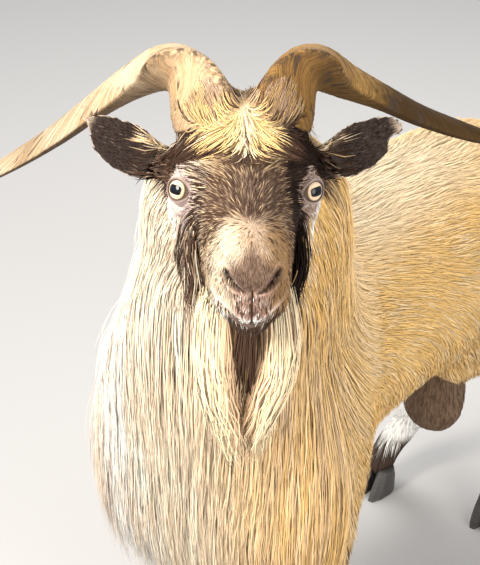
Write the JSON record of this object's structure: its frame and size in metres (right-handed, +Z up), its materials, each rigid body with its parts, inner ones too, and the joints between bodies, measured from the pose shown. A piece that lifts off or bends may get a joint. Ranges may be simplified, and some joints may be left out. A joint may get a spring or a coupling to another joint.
{
  "type": "goat model",
  "caption": "Life-size still model of a long-haired dwarf buck goat standing square, head turned to its left, with sweeping horns, a forked beard and a deep chest mane.",
  "frame": {"origin": "middle of the goat's bounding box on the floor it stands on", "axes": "-Y the way the trunk faces, +X towards the goat's left side, +Z up"},
  "size_m": [0.4074, 0.9668, 0.8645],
  "materials": {
    "coat_cream": "long soft hair, cream to tan with dark brown face bands",
    "coat_dark": "short dark brown hair with pale hairs along the rim",
    "bare_skin_grey": "thinly haired grey-brown skin",
    "horn_tan": "ridged, worn horn",
    "hoof_grey": "dull dark horn",
    "eye_amber": "wet, polished"
  },
  "bodies": {
    "root": {"beard_left": "coat_cream", "beard_right": "coat_cream", "chest_mane": "coat_cream", "dewclaw_fore_left_left": "hoof_grey", "dewclaw_fore_left_right": "hoof_grey", "dewclaw_fore_right_left": "hoof_grey", "dewclaw_fore_right_right": "hoof_grey", "dewclaw_hind_left_left": "hoof_grey", "dewclaw_hind_left_right": "hoof_grey", "dewclaw_hind_right_left": "hoof_grey", "dewclaw_hind_right_right": "hoof_grey", "ear_left": "coat_dark", "ear_right": "coat_dark", "eye_left": "eye_amber", "eye_right": "eye_amber", "foreleg_left": "coat_cream", "foreleg_right": "coat_cream", "head": "coat_cream", "hindleg_left": "coat_cream", "hindleg_right": "coat_cream", "hoof_fore_left_left_claw": "hoof_grey", "hoof_fore_left_right_claw": "hoof_grey", "hoof_fore_right_left_claw": "hoof_grey", "hoof_fore_right_right_claw": "hoof_grey", "hoof_hind_left_left_claw": "hoof_grey", "hoof_hind_left_right_claw": "hoof_grey", "hoof_hind_right_left_claw": "hoof_grey", "hoof_hind_right_right_claw": "hoof_grey", "horn_left": "horn_tan", "horn_right": "horn_tan", "neck": "coat_cream", "scrotum": "bare_skin_grey", "tail": "coat_cream", "trunk": "coat_cream"}
  },
  "joints": []
}
